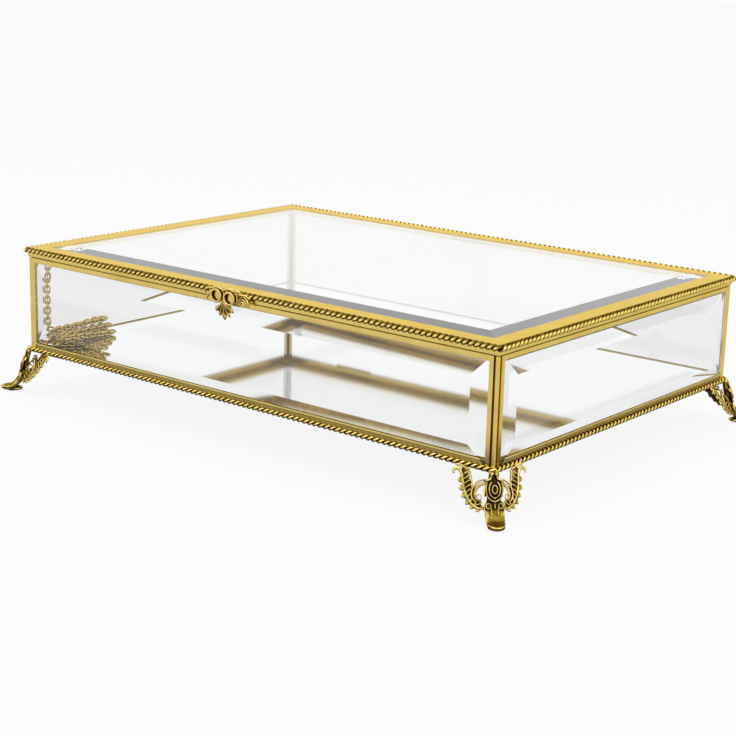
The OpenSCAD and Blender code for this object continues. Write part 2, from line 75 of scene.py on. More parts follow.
# Half the length and half the depth of the box over its brass faces
HALF_W = float(box_mm("right_bottom_came")[1][0])
HALF_D = float(box_mm("back_bottom_came")[1][1])
# Heights of the walls' underside and of the lid's lower edge
WALL_Z = float(box_mm("front_bottom_came")[0][2])
LID_Z = float(box_mm("lid_front_came")[0][2])


# ---- Sizes and colours a user would change --------------------------------------


def length_mm(name, description, default):
    """A length in millimetres."""
    return bpy.props.FloatProperty(name=name, description=description, default=default, min=0.0)


def colour(name, description, default):
    """A colour of three shares, red, green and blue."""
    return bpy.props.FloatVectorProperty(
        name=name, description=description, default=default, subtype="COLOR", size=3, min=0.0, max=1.0
    )


class CasketStage(bpy.types.PropertyGroup):
    """The camera and the lights"""

    azimuth: bpy.props.FloatProperty(
        name="Azimuth",
        description="Camera's turn from the front towards the right side",
        default=math.radians(38.65),
        subtype="ANGLE",
    )
    elevation: bpy.props.FloatProperty(
        name="Elevation",
        description="Camera's height angle over the table",
        default=math.radians(14.66),
        subtype="ANGLE",
    )
    roll: bpy.props.FloatProperty(
        name="Roll",
        description="Camera's turn about its own axis",
        default=math.radians(1.58),
        subtype="ANGLE",
    )
    distance: bpy.props.FloatProperty(
        name="Distance", description="Camera's distance from its target", default=0.8727, unit="LENGTH"
    )
    target: bpy.props.FloatVectorProperty(
        name="Target",
        description="Point the camera looks at: right and up from the middle of the base",
        default=(-0.0022, -0.0033),
        size=2,
        unit="LENGTH",
    )
    target_height: bpy.props.FloatProperty(
        name="Target height", description="Height of the middle of the base", default=0.024, unit="LENGTH"
    )
    lens: bpy.props.FloatProperty(
        name="Lens", description="Focal length in millimetres on a 36 mm frame", default=81.3, unit="CAMERA"
    )
    key_power: bpy.props.FloatProperty(
        name="Key light", description="Power of the soft light overhead", default=5.0, unit="POWER"
    )


class CasketMetal(bpy.types.PropertyGroup):
    """The colours of the brass, from polished to tarnished"""

    bright: colour("Bright brass", "Colour of polished brass", (0.82, 0.62, 0.19))
    warm: colour("Warm brass", "Colour of brass that is a little tarnished", (0.62, 0.43, 0.09))
    edge: colour("Grazing tint", "Colour of brass seen at a grazing angle", (0.96, 0.83, 0.46))
    olive: colour("Tarnish", "Colour of plain antiqued surfaces", (0.24, 0.155, 0.022))
    # The antique colour also paints the shade in the seams, over the base rope and behind the box's faces
    dark: colour("Antique", "Colour left in recesses and grooves", (0.03, 0.017, 0.004))


class CasketGlass(bpy.types.PropertyGroup):
    """The panes' bevels, and the colours of the glass and the mirror"""

    wall_bevel: length_mm("Wall bevel", "Width of the bevel along each edge of a wall pane, mm", 9.0)
    wall_drop: length_mm("Wall bevel drop", "Depth of that bevel at the edge, mm", 1.28)
    lid_bevel: length_mm("Lid bevel", "Width of the bevel along each edge of the lid pane, mm", 11.5)
    lid_drop: length_mm("Lid bevel drop", "Depth of that bevel at the edge, mm", 1.65)
    tint: colour("Glass tint", "Colour of light that has passed through a pane", (0.995, 1.0, 0.998))
    silver: colour("Silvering", "Colour of the floor mirror's reflection", (0.95, 0.96, 0.96))
    polish: bpy.props.FloatProperty(
        name="Polish",
        description="Extra gloss on the lid pane",
        default=1.0,
        min=0.0,
        max=1.0,
        subtype="FACTOR",
    )


class CasketRope(bpy.types.PropertyGroup):
    """The two twisted ropes"""

    radius: length_mm("Base radius", "Radius over the strands round the base, mm", 1.3)
    lid_radius: length_mm("Lid radius", "Radius over the strands round the lid, mm", 1.65)
    lid_rise: length_mm("Lid rise", "Height of the rope over the plain rope's middle, mm", 1.25)
    lead: length_mm("Lead", "Length of one turn of a strand, mm", 6.3)
    out: length_mm("Base stand-off", "Distance from the brass face to the base rope's centre, mm", 1.0)
    lid_out: length_mm("Lid stand-off", "Distance from the brass face to the lid rope's centre, mm", 0.75)


class CasketChain(bpy.types.PropertyGroup):
    """The links of the stay chain"""

    pitch: length_mm("Pitch", "Step from link to link, mm", 2.9)
    width: length_mm("Width", "Width of a link between its wires' centres, mm", 2.6)
    wire: length_mm("Wire", "Diameter of the link wire, mm", 0.92)


# ---- Meshes ---------------------------------------------------------------------


def quads(nu, nv, wrap_u, wrap_v):
    """Corner indices of every cell of an nu by nv grid, joined end to end where it wraps."""
    i = np.arange(nu if wrap_u else nu - 1)[:, None]
    j = np.arange(nv if wrap_v else nv - 1)[None, :]
    i2, j2 = (i + 1) % nu, (j + 1) % nv
    cells = np.stack([i * nv + j, i2 * nv + j, i2 * nv + j2, i * nv + j2], axis=-1)
    return cells.reshape(-1, 4)


def grid_part(points, wrap_u=False, wrap_v=False, cap_u=False):
    """Vertices and faces of a grid of points; cap_u closes both ends with one face each."""
    nu, nv = points.shape[:2]
    faces = [tuple(f) for f in quads(nu, nv, wrap_u, wrap_v).tolist()]
    if cap_u:
        faces.append(tuple(range(nv)))
        faces.append(tuple((nu - 1) * nv + np.arange(nv)[::-1]))
    return points.reshape(-1, 3), faces


def joined(parts):
    """One part, vertices and faces, out of several."""
    points, faces, start = [], [], 0
    for p, f in parts:
        points.append(p)
        faces.extend([tuple(int(i) + start for i in face) for face in f])
        start += len(p)
    return np.concatenate(points), faces


def make_piece(name, part, sharp=35.0):
    """A mesh object at the origin from millimetre points, smooth except at corners over sharp degrees."""
    points, faces = part
    mesh = bpy.data.meshes.new(name)
    mesh.from_pydata((points * MM).tolist(), [], faces)
    mesh.update()
    bm = bmesh.new()
    bm.from_mesh(mesh)
    bmesh.ops.recalc_face_normals(bm, faces=bm.faces)
    bm.to_mesh(mesh)
    bm.free()
    mesh.shade_smooth()
    mesh.set_sharp_from_angle(angle=math.radians(sharp))
    obj = bpy.data.objects.new(name, mesh)
    bpy.context.scene.collection.objects.link(obj)
    return obj


def read_rows(items, key, width, kind=float):
    """One row of numbers for each vertex or edge of a mesh."""
    values = np.empty(len(items) * width, dtype=kind)
    items.foreach_get(key, values)
    return values.reshape(-1, width)


def set_attribute(obj, name, values):
    """Stores one number for each vertex."""
    data = obj.data.attributes.new(name, "FLOAT", "POINT")
    data.data.foreach_set("value", np.asarray(values, dtype=np.float32))


def dress(obj, body, material, node):
    """Gives a piece its material, its body and the node that it replaces."""
    obj.data.materials.append(material)
    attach(obj, body)
    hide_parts(node)


def repaint(node, material):
    """Gives a node that stays as it is another material."""
    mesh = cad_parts[node].data
    mesh.materials.clear()
    mesh.materials.append(material)


def turned(points, side):
    """Points drawn for the front, turned about Z by a quarter turn for each side after it."""
    c, s = (1, 0, -1, 0)[side], (0, 1, 0, -1)[side]
    x, y, z = points.T
    return np.stack([c * x - s * y, s * x + c * y, z], axis=1)


def bevelled_plate(width, height, thick, bevel, drop):
    """A plate standing on z = 0 with its face on y = 0: a back rectangle, an edge rectangle drop
    behind the face, and the face itself, bevel inside the edge."""
    half = width / 2
    back = [(-half, thick, 0), (half, thick, 0), (half, thick, height), (-half, thick, height)]
    edge = [(x, drop, z) for x, _, z in back]
    face = [(x - math.copysign(bevel, x), 0, bevel if z == 0 else z - bevel) for x, _, z in back]
    faces = [(3, 2, 1, 0), (8, 9, 10, 11)]
    for k in range(4):
        n = (k + 1) % 4
        faces += [(k, n, 4 + n, 4 + k), (4 + k, 4 + n, 8 + n, 8 + k)]
    return np.array(back + edge + face, float), faces


# ---- Materials ------------------------------------------------------------------


class Nodes:
    """The node tree of a material or a world, with one short call for each kind of node."""

    def __init__(self, owner):
        owner.use_nodes = True
        self.owner = owner
        self.tree = owner.node_tree
        self.tree.nodes.clear()

    def add(self, kind, values=None, **settings):
        """A node; values are its inputs, each a number, a colour or another node's output."""
        node = self.tree.nodes.new(kind)
        for key, value in settings.items():
            setattr(node, key, value)
        for key, value in (values or {}).items():
            if isinstance(value, bpy.types.NodeSocket):
                self.tree.links.new(value, node.inputs[key])
            else:
                node.inputs[key].default_value = value
        return node

    def calc(self, operation, *values):
        return self.add("ShaderNodeMath", dict(enumerate(values)), operation=operation).outputs[0]

    def sum(self, a, b):
        return self.calc("ADD", a, b)

    def most(self, a, b):
        return self.calc("MAXIMUM", a, b)

    def size(self, value):
        """The value without its sign."""
        return self.calc("ABSOLUTE", value)

    def ranged(self, value, low, high, start, end):
        """The value's place between low and high, mapped to start and end."""
        values = {"Value": value, "From Min": low, "From Max": high, "To Min": start, "To Max": end}
        return self.add("ShaderNodeMapRange", values).outputs["Result"]

    def noise(self, place, scale, detail):
        values = {"Vector": place, "Scale": scale, "Detail": detail}
        return self.add("ShaderNodeTexNoise", values).outputs["Fac"]

    def blend(self, share, a, b):
        """Colour a where share is 0 and colour b where it is 1."""
        return self.add("ShaderNodeMix", {0: share, 6: a, 7: b}, data_type="RGBA").outputs[2]

    def object_place(self):
        return self.add("ShaderNodeTexCoord").outputs["Object"]

    def split(self, place):
        """The X, Y and Z of a place."""
        return self.add("ShaderNodeSeparateXYZ", {"Vector": place}).outputs

    def seen(self):
        """1 for what is looked at straight, in a reflection or through glass, and 0 for light."""
        rays = self.add("ShaderNodeLightPath").outputs
        return self.most(self.most(rays["Is Camera Ray"], rays["Is Glossy Ray"]), rays["Is Transmission Ray"])

    def finish(self, shader):
        """The material, once it shows the shader."""
        self.add("ShaderNodeOutputMaterial", {"Surface": shader.outputs[0]})
        return self.owner


def material_nodes(name):
    return Nodes(bpy.data.materials.new(name))


def rgba(c, tone=1.0):
    return (c[0] * tone, c[1] * tone, c[2] * tone, 1.0)


# Noise scales of the metal's blotches, 11 mm across, stains, 2.4 mm, and specks, 1 mm
BLOTCHES, STAINS, SPECKS = 90.0, 420.0, 900.0
# A casting's relief on its plain skin, where its hollows have 0 and its ridges 1
PLAIN_SKIN = 0.36
# Depths behind the box's faces between which the painted shade on the cames' inner sides sets in, in mm
INNER_SHADE_START, INNER_SHADE_END = 1.2, 2.6
# Half the soft edge of a band of painted shade along a seam, in mm
SHADE_BAND_SOFT = 0.12


def metal(name, roughness=0.16, wear=0.5, bump=0.2, relief=None, tone=1.0, seams=(), inner=0.0):
    """Brass whose colour wanders slowly between bright and warm, with fine specks in its gloss.
    relief names a vertex attribute that runs from dark hollows over olive plain skin to bright ridges.
    Each shade band is painted shade along a seam where parts meet: its middle height and half its height
    in mm, and its strength.  inner is the share of painted shade behind the box's faces, on the cames' inner
    sides."""
    brass = bpy.context.scene.casket_metal
    n = material_nodes(name)
    place = n.object_place()
    specks = n.noise(place, SPECKS, 3.0)
    age = n.ranged(n.noise(place, BLOTCHES, 4.0), 0.35, 0.75, 0.0, wear)
    tint = n.blend(age, rgba(brass.bright, tone), rgba(brass.warm, tone))
    rough = n.ranged(specks, 0.3, 0.75, roughness * 0.75, roughness * 1.5)
    if relief:
        height = n.add("ShaderNodeAttribute", attribute_name=relief).outputs["Fac"]
        height = n.sum(height, n.ranged(n.noise(place, STAINS, 2.0), 0.3, 0.7, -0.12, 0.12))
        skin = n.blend(n.ranged(height, 0.08, PLAIN_SKIN, 0.0, 1.0), rgba(brass.dark), rgba(brass.olive))
        tint = n.blend(n.ranged(height, 0.42, 0.78, 0.0, 1.0), skin, tint)
        rough = n.sum(rough, n.ranged(height, 0.2, 0.8, 0.22, 0.0))
    xyz = n.split(place)
    # Painted shade: the cames darken behind the box's faces, on the inner sides seen through the glass
    if inner:
        outside = n.most(n.sum(n.size(xyz["X"]), -HALF_W * MM), n.sum(n.size(xyz["Y"]), -HALF_D * MM))
        share = n.ranged(outside, -INNER_SHADE_END * MM, -INNER_SHADE_START * MM, inner, 0.0)
        tint = n.blend(share, tint, rgba(brass.dark))
    # Painted shade: dark bands along the seams between parts, where shade falls
    for middle, half, strength in seams:
        away = n.size(n.sum(xyz["Z"], -middle * MM))
        share = n.ranged(away, (half - SHADE_BAND_SOFT) * MM, (half + SHADE_BAND_SOFT) * MM, strength, 0.0)
        tint = n.blend(share, tint, rgba(brass.dark))
    dents = n.add("ShaderNodeBump", {"Height": specks, "Strength": bump, "Distance": 0.00004})
    return n.finish(n.add("ShaderNodeBsdfPrincipled", {
        "Base Color": tint, "Metallic": 1.0, "Roughness": rough,
        "Specular Tint": rgba(brass.edge), "Normal": dents.outputs["Normal"],
    }))


def clear_glass(name, tint, coat=0.0):
    """Clear plate glass; shadow rays pass through it, as light does through a thin pane."""
    n = material_nodes(name)
    glass = n.add("ShaderNodeBsdfPrincipled", {
        "Base Color": rgba(tint), "Transmission Weight": 1.0, "Roughness": 0.0, "IOR": 1.5,
        "Coat Weight": coat, "Coat Roughness": 0.0, "Coat IOR": 1.6,
    })
    clear = n.add("ShaderNodeBsdfTransparent", {"Color": rgba(tint)})
    shadow = n.add("ShaderNodeLightPath").outputs["Is Shadow Ray"]
    return n.finish(n.add("ShaderNodeMixShader", {0: shadow, 1: glass.outputs[0], 2: clear.outputs[0]}))


def silver_mirror(name, tint):
    """Silvered glass, a little soft, as an old mirror is."""
    n = material_nodes(name)
    values = {"Base Color": rgba(tint), "Metallic": 1.0, "Roughness": 0.05}
    return n.finish(n.add("ShaderNodeBsdfPrincipled", values))


def made(name, maker, *args, **kwargs):
    """The named material, made the first time it is asked for."""
    return bpy.data.materials.get(name) or maker(name, *args, **kwargs)


def chain_brass():
    return made("chain_wire_brass", metal, roughness=0.2, wear=0.9, tone=0.8)


def antique_brass():
    return made("antique_brass", metal, roughness=0.2, relief="relief", wear=0.5)


# ---- Stage ----------------------------------------------------------------------

# Half the width of the floor, in mm
FLOOR_HALF = 6000.0
# Width of the dark strip of floor that the brass reflects, beside the box and before it, in mm
DARK_BESIDE, DARK_BEFORE = 62.1, 78.1


class CASKET_OT_stage(bpy.types.Operator):
    """Makes the camera, the pale floor, the world and the soft lights"""

    bl_idname = "casket.stage"
    bl_label = "Stage"

    def execute(self, context):
        stage = context.scene.casket_stage
        self.camera(context, stage)
        self.floor()
        self.world(context.scene)
        self.lights(stage)
        context.scene.view_settings.view_transform = "Standard"
        return {"FINISHED"}

    def camera(self, context, stage):
        """A camera that looks at the middle of the base, slid right and up, and rolled."""
        a, e = stage.azimuth, stage.elevation
        back = Vector((math.sin(a) * math.cos(e), -math.cos(a) * math.cos(e), math.sin(e)))
        right = Vector((0, 0, 1)).cross(back).normalized()
        up = back.cross(right)
        place = Vector((0, 0, stage.target_height)) + back * stage.distance
        place += right * stage.target[0] + up * stage.target[1]
        rolled_right = right * math.cos(stage.roll) + up * math.sin(stage.roll)
        rolled_up = up * math.cos(stage.roll) - right * math.sin(stage.roll)
        data = bpy.data.cameras.new("camera")
        data.lens, data.sensor_width, data.clip_start = stage.lens, 36.0, 0.05
        camera = bpy.data.objects.new("camera", data)
        turn = Matrix((rolled_right, rolled_up, back)).transposed()
        camera.matrix_world = Matrix.Translation(place) @ turn.to_4x4()
        context.scene.collection.objects.link(camera)
        context.scene.camera = camera

    def floor(self):
        """A wide pale floor, mostly white to the eye and in reflections, with a faint shadow.  Glossy
        rays see it dark close to the box, which gives the brass its dark bands."""
        signs = np.array([(-1, -1, 0), (1, -1, 0), (1, 1, 0), (-1, 1, 0)])
        floor = make_piece("floor", (signs * FLOOR_HALF, [(0, 1, 2, 3)]))
        n = material_nodes("floor_paper")
        xyz = n.split(n.object_place())
        beside = n.calc("DIVIDE", n.sum(n.size(xyz["X"]), -HALF_W * MM), DARK_BESIDE * MM)
        before = n.calc("DIVIDE", n.sum(n.size(xyz["Y"]), -HALF_D * MM), DARK_BEFORE * MM)
        far = n.ranged(n.most(beside, before), 1.0, 1.088, 0.08, 0.86)
        glossy = n.add("ShaderNodeLightPath").outputs["Is Glossy Ray"]
        glow = n.add("ShaderNodeMix", {"Factor": glossy, "A": 1.0, "B": far}, data_type="FLOAT")
        paper = n.add("ShaderNodeBsdfDiffuse", {"Color": (0.95, 0.95, 0.95, 1)})
        white = n.add("ShaderNodeEmission", {"Color": (1, 1, 1, 1), "Strength": glow.outputs[0]})
        share = n.calc("MULTIPLY", n.seen(), 0.9)
        mix = n.add("ShaderNodeMixShader", {0: share, 1: paper.outputs[0], 2: white.outputs[0]})
        floor.data.materials.append(n.finish(mix))

    def world(self, scene):
        """A white surround, dimmer as a light than to the eye."""
        scene.world = bpy.data.worlds.new("studio")
        n = Nodes(scene.world)
        strength = n.ranged(n.seen(), 0.0, 1.0, 0.6, 1.0)
        sky = n.add("ShaderNodeBackground", {"Color": (1, 1, 1, 1), "Strength": strength})
        n.add("ShaderNodeOutputWorld", {"Surface": sky.outputs[0]})

    def lights(self, stage):
        """Two soft square lamps turned to the origin, each with its place and width in metres."""
        for name, place, size, power in (
            ("key", (-0.3, -0.5, 1.4), 1.2, stage.key_power),
            ("fill", (0.9, -0.2, 0.8), 0.8, stage.key_power * 0.5),
        ):
            data = bpy.data.lights.new(name, "AREA")
            data.energy, data.size = power, size
            lamp = bpy.data.objects.new(name, data)
            lamp.location = place
            lamp.rotation_euler = (-Vector(place)).to_track_quat("-Z", "Y").to_euler()
            bpy.context.scene.collection.objects.link(lamp)


# ---- Glass and mirror -----------------------------------------------------------


class CASKET_OT_glass(bpy.types.Operator):
    """Cuts the bevelled panes and silvers the floor mirror"""

    bl_idname = "casket.glass"
    bl_label = "Glass and mirror"

    def execute(self, context):
        glass = context.scene.casket_glass
        pane = made("clear_plate_glass", clear_glass, glass.tint)
        for side, name in enumerate(SIDES):
            along, through = (0, 1) if side % 2 == 0 else (1, 0)
            low, high = box_mm(name + "_glass")
            length, thick, height = (high - low)[[along, through, 2]]
            points, faces = bevelled_plate(length, height, thick, glass.wall_bevel, glass.wall_drop)
            points[:, 1] -= max(abs(low[through]), abs(high[through]))
            points[:, 2] += low[2]
            obj = make_piece("bevelled_pane_" + name, (turned(points, side), faces), sharp=1.0)
            dress(obj, "casket", pane, name + "_glass")
        low, high = box_mm("lid_glass")
        points, faces = bevelled_plate(*(high - low), glass.lid_bevel, glass.lid_drop)
        x, y, z = points.T
        points = np.stack([x, z + low[1], high[2] - y], axis=1)
        polished = made("polished_plate_glass", clear_glass, glass.tint, coat=glass.polish)
        lid = make_piece("bevelled_pane_lid", (points, faces), sharp=1.0)
        dress(lid, "lid", polished, "lid_glass")
        repaint("mirror_base", made("silvered_mirror", silver_mirror, glass.silver))
        return {"FINISHED"}


# ---- Cames ----------------------------------------------------------------------

# Height over the base rope of the middle of the painted shadow line that it casts on the cames above it, in
# mm
ROPE_SHADOW = 0.65


class CASKET_OT_cames(bpy.types.Operator):
    """Gives the cames, ledges, solder beads, hinges and eyelets their brass"""

    bl_idname = "casket.cames"
    bl_label = "Cames"

    def execute(self, context):
        # Painted shade: a dark line in the gap under the lid, a painted shadow line over the base rope, and
        # painted shade on the inner sides of the base and wall cames
        lid_gap_shade = (box_mm("front_top_came")[1][2] + LID_Z) / 2
        rope_shadow_line = box_mm("base_rope")[1][2] + ROPE_SHADOW
        bright = made("bright_brass", metal, seams=((lid_gap_shade, 0.3, 1.0),))
        base = made("base_brass", metal, seams=((rope_shadow_line, 1.0, 0.6),), inner=0.4)
        wall = made("wall_brass", metal, inner=0.4)
        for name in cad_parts:
            if name.endswith("_bottom_came"):
                repaint(name, base)
            elif name.endswith("_top_came") or (name.startswith("lid_") and name.endswith("_came")):
                repaint(name, bright)
            elif name.startswith(("ledge_", "corner_bead_")) or "_hinge_" in name:
                repaint(name, bright)
            elif name.endswith("_came"):
                repaint(name, wall)
            elif name.endswith("_eyelet"):
                repaint(name, chain_brass())
        return {"FINISHED"}


# ---- Chain ----------------------------------------------------------------------

# Share of the wire's thickness by which a link reaches past half the pitch
LINK_OVERLAP = 0.8
# Angle by which the links lean to one side and the other by turns
LINK_LEAN = math.radians(45)
# Distance from the middle of a run past which its points are the cross bar's, in mm
RUN_HALF = 1.9


def link_part(centre, along, flat, half_l, half_w, wire, around=20, sides=8):
    """One closed link: a tube round the oval centre + along * l * cos(a) + flat * w * sin(a), the ends
    kept full by raising the cosine and the sine to the power 0.8."""
    a = np.linspace(0, 2 * math.pi, around, endpoint=False)
    u = np.sign(np.cos(a)) * np.abs(np.cos(a)) ** 0.8 * half_l
    v = np.sign(np.sin(a)) * np.abs(np.sin(a)) ** 0.8 * half_w
    line = centre + u[:, None] * along + v[:, None] * flat
    run = np.roll(line, -1, 0) - np.roll(line, 1, 0)
    run /= np.linalg.norm(run, axis=1, keepdims=True)
    through = np.cross(along, flat)
    beside = np.cross(run, through)
    b = np.linspace(0, 2 * math.pi, sides, endpoint=False)[None, :, None]
    skin = line[:, None] + wire * (beside[:, None] * np.cos(b) + through * np.sin(b))
    return grid_part(skin, wrap_u=True, wrap_v=True)


def chain_part(points, chain):
    """Links along the straight line that fits a run of plain chain best, and the cross bar's link that
    reaches to the next lane, where the run has one."""
    low, high = points.min(0), points.max(0)
    axis = int(np.argmax(high - low))
    slopes = [np.polyfit(points[:, axis], points[:, k], 1) for k in range(3)]
    start, end = np.stack([np.polyval(slope, [low[axis], high[axis]]) for slope in slopes], axis=1)
    length = np.linalg.norm(end - start)
    along = (end - start) / length
    half_l, half_w, wire = chain.pitch / 2 + LINK_OVERLAP * chain.wire, chain.width / 2, chain.wire / 2
    count = round((length - 2 * half_l) / chain.pitch) + 1
    side = np.cross(along, (1.0, 0.0, 0.0))
    side /= np.linalg.norm(side)
    other = np.cross(side, along)
    parts = []
    for k, t in enumerate(np.linspace(half_l + wire, length - half_l - wire, count)):
        lean = LINK_LEAN if k % 2 else -LINK_LEAN
        flat = side * math.cos(lean) + other * math.sin(lean)
        parts.append(link_part(start + along * t, along, flat, half_l, half_w, wire))
    lane = (start[0] + end[0]) / 2
    bar = points[np.abs(points[:, 0] - lane) > RUN_HALF]
    if axis == 1 and len(bar):
        reach = bar[np.argmax(np.abs(bar[:, 0] - lane)), 0] - lane
        centre = np.array([lane + reach / 2, *bar.mean(0)[1:]])
        across, flat = np.array([1.0, 0.0, 0.0]), np.array([0.0, 0.8, 0.6])
        parts.append(link_part(centre, across, flat, abs(reach) / 2, half_w, wire))
    return joined(parts)


class CASKET_OT_chain(bpy.types.Operator):
    """Forges the links of the stay chain over its runs"""

    bl_idname = "casket.chain"
    bl_label = "Chain"

    def execute(self, context):
        chain = context.scene.casket_chain
        for node in [f"chain_run_{k}" for k in range(1, 9)] + ["chain_strand"]:
            points = read_rows(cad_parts[node].data.vertices, "co", 3) / MM
            obj = make_piece(node + "_links", chain_part(points, chain), sharp=180)
            dress(obj, node, chain_brass(), node)
        return {"FINISHED"}


# ---- Rope -----------------------------------------------------------------------

# Distance between the points of a rope's middle line, in mm
ROPE_STEP = 1.0


def rope_path(out):
    """Points, outward normals and running length round the box, out beyond its faces, at height 0.
    Each side is a straight line and each corner a quarter circle about the box's corner."""
    points, normals = [], []
    for side in range(4):
        half, offset = (HALF_W, HALF_D) if side % 2 == 0 else (HALF_D, HALF_W)
        x = np.linspace(-half, half, round(2 * half / ROPE_STEP) + 1)
        run = np.stack([x, np.full_like(x, -offset - out), np.zeros_like(x)], axis=1)
        bend = np.linspace(0, math.pi / 2, 6)[1:-1]
        spokes = np.stack([np.sin(bend), -np.cos(bend), np.zeros_like(bend)], axis=1)
        corner = np.array([half, -offset, 0.0]) + spokes * out
        normal = np.tile([0.0, -1.0, 0.0], (len(x), 1))
        points.append(turned(np.concatenate([run, corner]), side))
        normals.append(turned(np.concatenate([normal, spokes]), side))
    points, normals = np.concatenate(points), np.concatenate(normals)
    gaps = np.linalg.norm(np.roll(points, -1, 0) - points, axis=1)
    return points, normals, np.concatenate([[0], np.cumsum(gaps)])


def twisted_rope(z, out, radius, lead, top_shade, grooves, sides=10, per_turn=14):
    """Two strands wound round one path.  A strand's centre is the path plus half the rope's radius
    turned by the running length over the lead; its skin is an ellipse square to the strand.  The
    relief is 0 in the grooves, closer to the path than that share of the radius, and 1 on the crowns,
    and a share of it is taken, as painted shade, from what faces up and out."""
    path, normals, run = rope_path(out)
    total = run[-1]
    turns = round(total / lead)
    s = np.linspace(0, total, turns * per_turn, endpoint=False)
    loop, loop_n = np.vstack([path, path[:1]]), np.vstack([normals, normals[:1]])
    centre = np.stack([np.interp(s, run, loop[:, k]) for k in range(3)], axis=1) + [0.0, 0.0, z]
    out = np.stack([np.interp(s, run, loop_n[:, k]) for k in range(3)], axis=1)
    out /= np.linalg.norm(out, axis=1, keepdims=True)
    up = np.tile([0.0, 0.0, 1.0], (len(s), 1))
    strand_r = radius / 2
    parts, relief = [], []
    for strand in (0, 1):
        phase = (2 * math.pi * turns * s / total + math.pi * strand)[:, None]
        spoke = out * np.cos(phase) + up * np.sin(phase)
        line = centre + spoke * strand_r
        along = np.roll(line, -1, 0) - np.roll(line, 1, 0)
        along /= np.linalg.norm(along, axis=1, keepdims=True)
        side = np.cross(along, spoke)
        side /= np.linalg.norm(side, axis=1, keepdims=True)
        front = np.cross(side, along)
        a = np.linspace(0, 2 * math.pi, sides, endpoint=False)[None, :, None]
        skin = line[:, None] + strand_r * (front[:, None] * np.cos(a) + 1.12 * side[:, None] * np.sin(a))
        parts.append(grid_part(skin, wrap_u=True, wrap_v=True))
        offset = (skin - centre[:, None]) / radius
        crown = np.clip((np.linalg.norm(offset, axis=2) - grooves) / (0.94 - grooves), 0, 1)
        # Painted shade on the part of each strand that faces up and out
        upward, outward = offset[:, :, 2], (offset * out[:, None]).sum(axis=2)
        top = np.clip(3 * upward - 0.9, 0, 1) * np.clip(3 * outward + 1.2, 0, 1)
        relief.append(crown * (1 - top_shade * top))
    return joined(parts), np.concatenate(relief).reshape(-1)


class CASKET_OT_ropes(bpy.types.Operator):
    """Winds the two-strand rope round the base and round the lid"""

    bl_idname = "casket.ropes"
    bl_label = "Ropes"

    def execute(self, context):
        rope = context.scene.casket_rope
        brass = made("twisted_brass", metal, roughness=0.14, relief="relief", wear=0.3, tone=1.2)
        # The seventh column is the share of painted shade on the strands' upper side
        for name, node, body, radius, rise, out, top_shade_share, grooves in (
            ("base_rope_twist", "base_rope", "casket", rope.radius, 0.0, rope.out, 0.2, 0.8),
            ("lid_rope_twist", "lid_rope", "lid", rope.lid_radius, rope.lid_rise, rope.lid_out, 0.75, 0.75),
        ):
            low, high = box_mm(node)
            middle = (low[2] + high[2]) / 2 + rise
            part, relief = twisted_rope(middle, out, radius, rope.lead, top_shade_share, grooves)
            obj = make_piece(name, part, sharp=180)
            set_attribute(obj, "relief", relief)
            dress(obj, body, brass, node)
        return {"FINISHED"}


# ---- Castings -------------------------------------------------------------------

# Grain at which the castings' parts are melted together, in mm
FOOT_VOXEL, CLASP_VOXEL = 0.22, 0.16
DIAGONAL = math.sqrt(0.5)


def spline(keys, count):
    """Points on a Catmull-Rom curve through the rows of keys, count of them at even steps."""
    k = np.asarray(keys, float)
    k = np.vstack([2 * k[0] - k[1], k, 2 * k[-1] - k[-2]])
    t = np.linspace(0, len(k) - 3 - 1e-9, count)
    i = t.astype(int)
    t = (t - i)[:, None]
    a, b, c, d = k[i], k[i + 1], k[i + 2], k[i + 3]
    return (2 * b + (c - a) * t + (2 * a - 5 * b + 4 * c - d) * t**2 + (3 * b - a - 3 * c + d) * t**3) / 2


def leaf(keys, normal, step=0.35, sides=12, square=1.0):
    """A closed tube along a curve.  Each key is x, y, z, half width and half thickness.  The section
    is the ellipse width times cosine across, thickness times sine along the normal, each raised to
    the power of square; the ends are closed by quarter ellipses."""
    keys = np.asarray(keys, float)
    reach = np.linalg.norm(np.diff(keys[:, :3], axis=0), axis=1).sum()
    line = spline(keys, max(6, int(reach / step)))
    centre, wide = line[:, :3], line[:, 3]
    along = np.gradient(centre, axis=0)
    along /= np.linalg.norm(along, axis=1, keepdims=True)
    side = np.cross(along, np.asarray(normal, float))
    side /= np.linalg.norm(side, axis=1, keepdims=True)
    front = np.cross(side, along)
    bend = np.radians([0, 30, 60])[:, None]
    head = centre[0] - along[0] * np.cos(bend) * wide[0]
    tail = centre[-1] + along[-1] * np.cos(bend[::-1]) * wide[-1]
    centre = np.vstack([head, centre, tail])
    ends = ((len(head), len(tail)), (0, 0))
    side, front, size = (np.pad(rows, ends, mode="edge") for rows in (side, front, line[:, 3:]))
    size = size * np.vstack([np.sin(bend + 0.05), np.ones_like(line[:, :1]), np.sin(bend[::-1]) + 0.02])
    a = np.linspace(0, 2 * math.pi, sides, endpoint=False)
    cos = np.sign(np.cos(a)) * np.abs(np.cos(a)) ** square
    sin = np.sign(np.sin(a)) * np.abs(np.sin(a)) ** square
    skin = centre[:, None] + side[:, None] * (size[:, :1] * cos)[..., None]
    skin = skin + front[:, None] * (size[:, 1:] * sin)[..., None]
    return grid_part(skin, wrap_v=True, cap_u=True)


